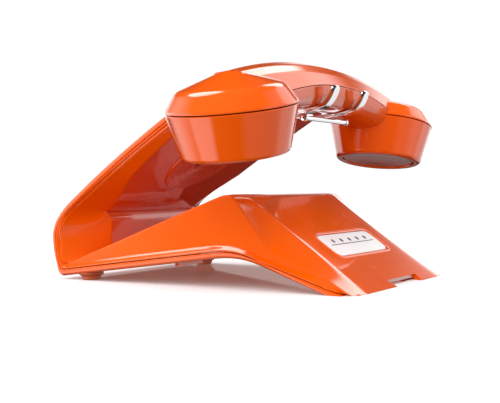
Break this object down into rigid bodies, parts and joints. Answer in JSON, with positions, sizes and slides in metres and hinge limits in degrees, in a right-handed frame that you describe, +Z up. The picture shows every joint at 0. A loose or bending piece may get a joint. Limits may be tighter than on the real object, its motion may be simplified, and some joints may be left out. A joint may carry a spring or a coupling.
{
  "type": "desk telephone",
  "caption": "Folded wedge-shaped desk telephone with a round push-key dial, chrome cradle hooks and a lift-off cordless handset lying across the top.",
  "frame": {"origin": "bottom centre of the whole phone's box, on the table", "axes": "+X across the phone to the user's right, +Y from the front bend to the rear edge, +Z up"},
  "size_m": [0.2148, 0.159, 0.1024],
  "materials": {
    "orange_gloss": "high-gloss moulded plastic, mirror polished",
    "foot_rubber": "satin rubber tinted to match the body",
    "chrome": "bright chrome plate",
    "silver_plate": "satin silver foil plate",
    "dark_gloss": "gloss black moulded plastic",
    "key_white": "gloss off-white key caps",
    "display_glass": "smoked window over a display",
    "black_plastic": "fine moulded texture",
    "silicone": "matt silicone",
    "circuit_board": "solder-resist green",
    "steel": "bright zinc-plated steel",
    "gold_contact": "gold-flashed contact"
  },
  "bodies": {
    "base": {"outer_shell": "orange_gloss", "inner_shell": "orange_gloss", "front_foot_left": "foot_rubber", "front_foot_right": "foot_rubber", "rear_pad_left": "foot_rubber", "rear_pad_right": "foot_rubber", "name_plate": "silver_plate", "cradle_hook_left": "chrome", "cradle_hook_right": "chrome", "cradle_rod": "chrome", "dial_ring": "chrome", "dial_plate": "dark_gloss", "display_window": "display_glass", "display_module": "black_plastic", "key_mat": "silicone", "main_board": "circuit_board", "dial_housing_cap": "orange_gloss", "loudspeaker": "black_plastic", "line_board": "circuit_board", "line_socket": "black_plastic", "power_socket": "black_plastic", "ballast_plate": "steel", "base_screw_1": "steel", "base_screw_2": "steel", "base_screw_3": "steel", "base_screw_4": "steel"},
    "key_1": {"key_1": "key_white"},
    "key_2": {"key_2": "key_white"},
    "key_3": {"key_3": "key_white"},
    "key_4": {"key_4": "key_white"},
    "key_5": {"key_5": "key_white"},
    "key_6": {"key_6": "key_white"},
    "key_7": {"key_7": "key_white"},
    "key_8": {"key_8": "key_white"},
    "key_9": {"key_9": "key_white"},
    "key_star": {"key_star": "key_white"},
    "key_0": {"key_0": "key_white"},
    "key_hash": {"key_hash": "key_white"},
    "talk_key": {"talk_key": "key_white"},
    "menu_key": {"menu_key": "key_white"},
    "end_key": {"end_key": "key_white"},
    "charge_pin_left": {"charge_pin_left": "gold_contact"},
    "charge_pin_right": {"charge_pin_right": "gold_contact"},
    "handset": {"handset_upper": "orange_gloss", "handset_lower": "orange_gloss", "earpiece_cover": "orange_gloss", "mouthpiece_cover": "orange_gloss", "receiver": "black_plastic", "microphone": "black_plastic", "handset_board": "circuit_board", "battery_cell": "steel", "contact_pad_left": "gold_contact", "contact_pad_right": "gold_contact"}
  },
  "joints": [
    {"name": "handset_lift", "type": "slide", "parent": "base", "child": "handset", "axis": [0, 0, 1], "range_m": [0, 0.15]},
    {"name": "key_1_press", "type": "slide", "parent": "base", "child": "key_1", "axis": [0, 0.5577, -0.83], "range_m": [0, 0.0008], "stiffness_N_per_m": 400, "springref_m": -0.0004},
    {"name": "key_2_press", "type": "slide", "parent": "base", "child": "key_2", "axis": [0, 0.5577, -0.83], "range_m": [0, 0.0008], "stiffness_N_per_m": 400, "springref_m": -0.0004},
    {"name": "key_3_press", "type": "slide", "parent": "base", "child": "key_3", "axis": [0, 0.5577, -0.83], "range_m": [0, 0.0008], "stiffness_N_per_m": 400, "springref_m": -0.0004},
    {"name": "key_4_press", "type": "slide", "parent": "base", "child": "key_4", "axis": [0, 0.5577, -0.83], "range_m": [0, 0.0008], "stiffness_N_per_m": 400, "springref_m": -0.0004},
    {"name": "key_5_press", "type": "slide", "parent": "base", "child": "key_5", "axis": [0, 0.5577, -0.83], "range_m": [0, 0.0008], "stiffness_N_per_m": 400, "springref_m": -0.0004},
    {"name": "key_6_press", "type": "slide", "parent": "base", "child": "key_6", "axis": [0, 0.5577, -0.83], "range_m": [0, 0.0008], "stiffness_N_per_m": 400, "springref_m": -0.0004},
    {"name": "key_7_press", "type": "slide", "parent": "base", "child": "key_7", "axis": [0, 0.5577, -0.83], "range_m": [0, 0.0008], "stiffness_N_per_m": 400, "springref_m": -0.0004},
    {"name": "key_8_press", "type": "slide", "parent": "base", "child": "key_8", "axis": [0, 0.5577, -0.83], "range_m": [0, 0.0008], "stiffness_N_per_m": 400, "springref_m": -0.0004},
    {"name": "key_9_press", "type": "slide", "parent": "base", "child": "key_9", "axis": [0, 0.5577, -0.83], "range_m": [0, 0.0008], "stiffness_N_per_m": 400, "springref_m": -0.0004},
    {"name": "key_star_press", "type": "slide", "parent": "base", "child": "key_star", "axis": [0, 0.5577, -0.83], "range_m": [0, 0.0008], "stiffness_N_per_m": 400, "springref_m": -0.0004},
    {"name": "key_0_press", "type": "slide", "parent": "base", "child": "key_0", "axis": [0, 0.5577, -0.83], "range_m": [0, 0.0008], "stiffness_N_per_m": 400, "springref_m": -0.0004},
    {"name": "key_hash_press", "type": "slide", "parent": "base", "child": "key_hash", "axis": [0, 0.5577, -0.83], "range_m": [0, 0.0008], "stiffness_N_per_m": 400, "springref_m": -0.0004},
    {"name": "talk_key_press", "type": "slide", "parent": "base", "child": "talk_key", "axis": [0, 0.5577, -0.83], "range_m": [0, 0.0008], "stiffness_N_per_m": 400, "springref_m": -0.0004},
    {"name": "menu_key_press", "type": "slide", "parent": "base", "child": "menu_key", "axis": [0, 0.5577, -0.83], "range_m": [0, 0.0008], "stiffness_N_per_m": 400, "springref_m": -0.0004},
    {"name": "end_key_press", "type": "slide", "parent": "base", "child": "end_key", "axis": [0, 0.5577, -0.83], "range_m": [0, 0.0008], "stiffness_N_per_m": 400, "springref_m": -0.0004},
    {"name": "charge_pin_left_travel", "type": "slide", "parent": "base", "child": "charge_pin_left", "axis": [0, 0, -1], "range_m": [0, 0.0005], "stiffness_N_per_m": 250, "springref_m": -0.0004},
    {"name": "charge_pin_right_travel", "type": "slide", "parent": "base", "child": "charge_pin_right", "axis": [0, 0, -1], "range_m": [0, 0.0005], "stiffness_N_per_m": 250, "springref_m": -0.0004}
  ]
}
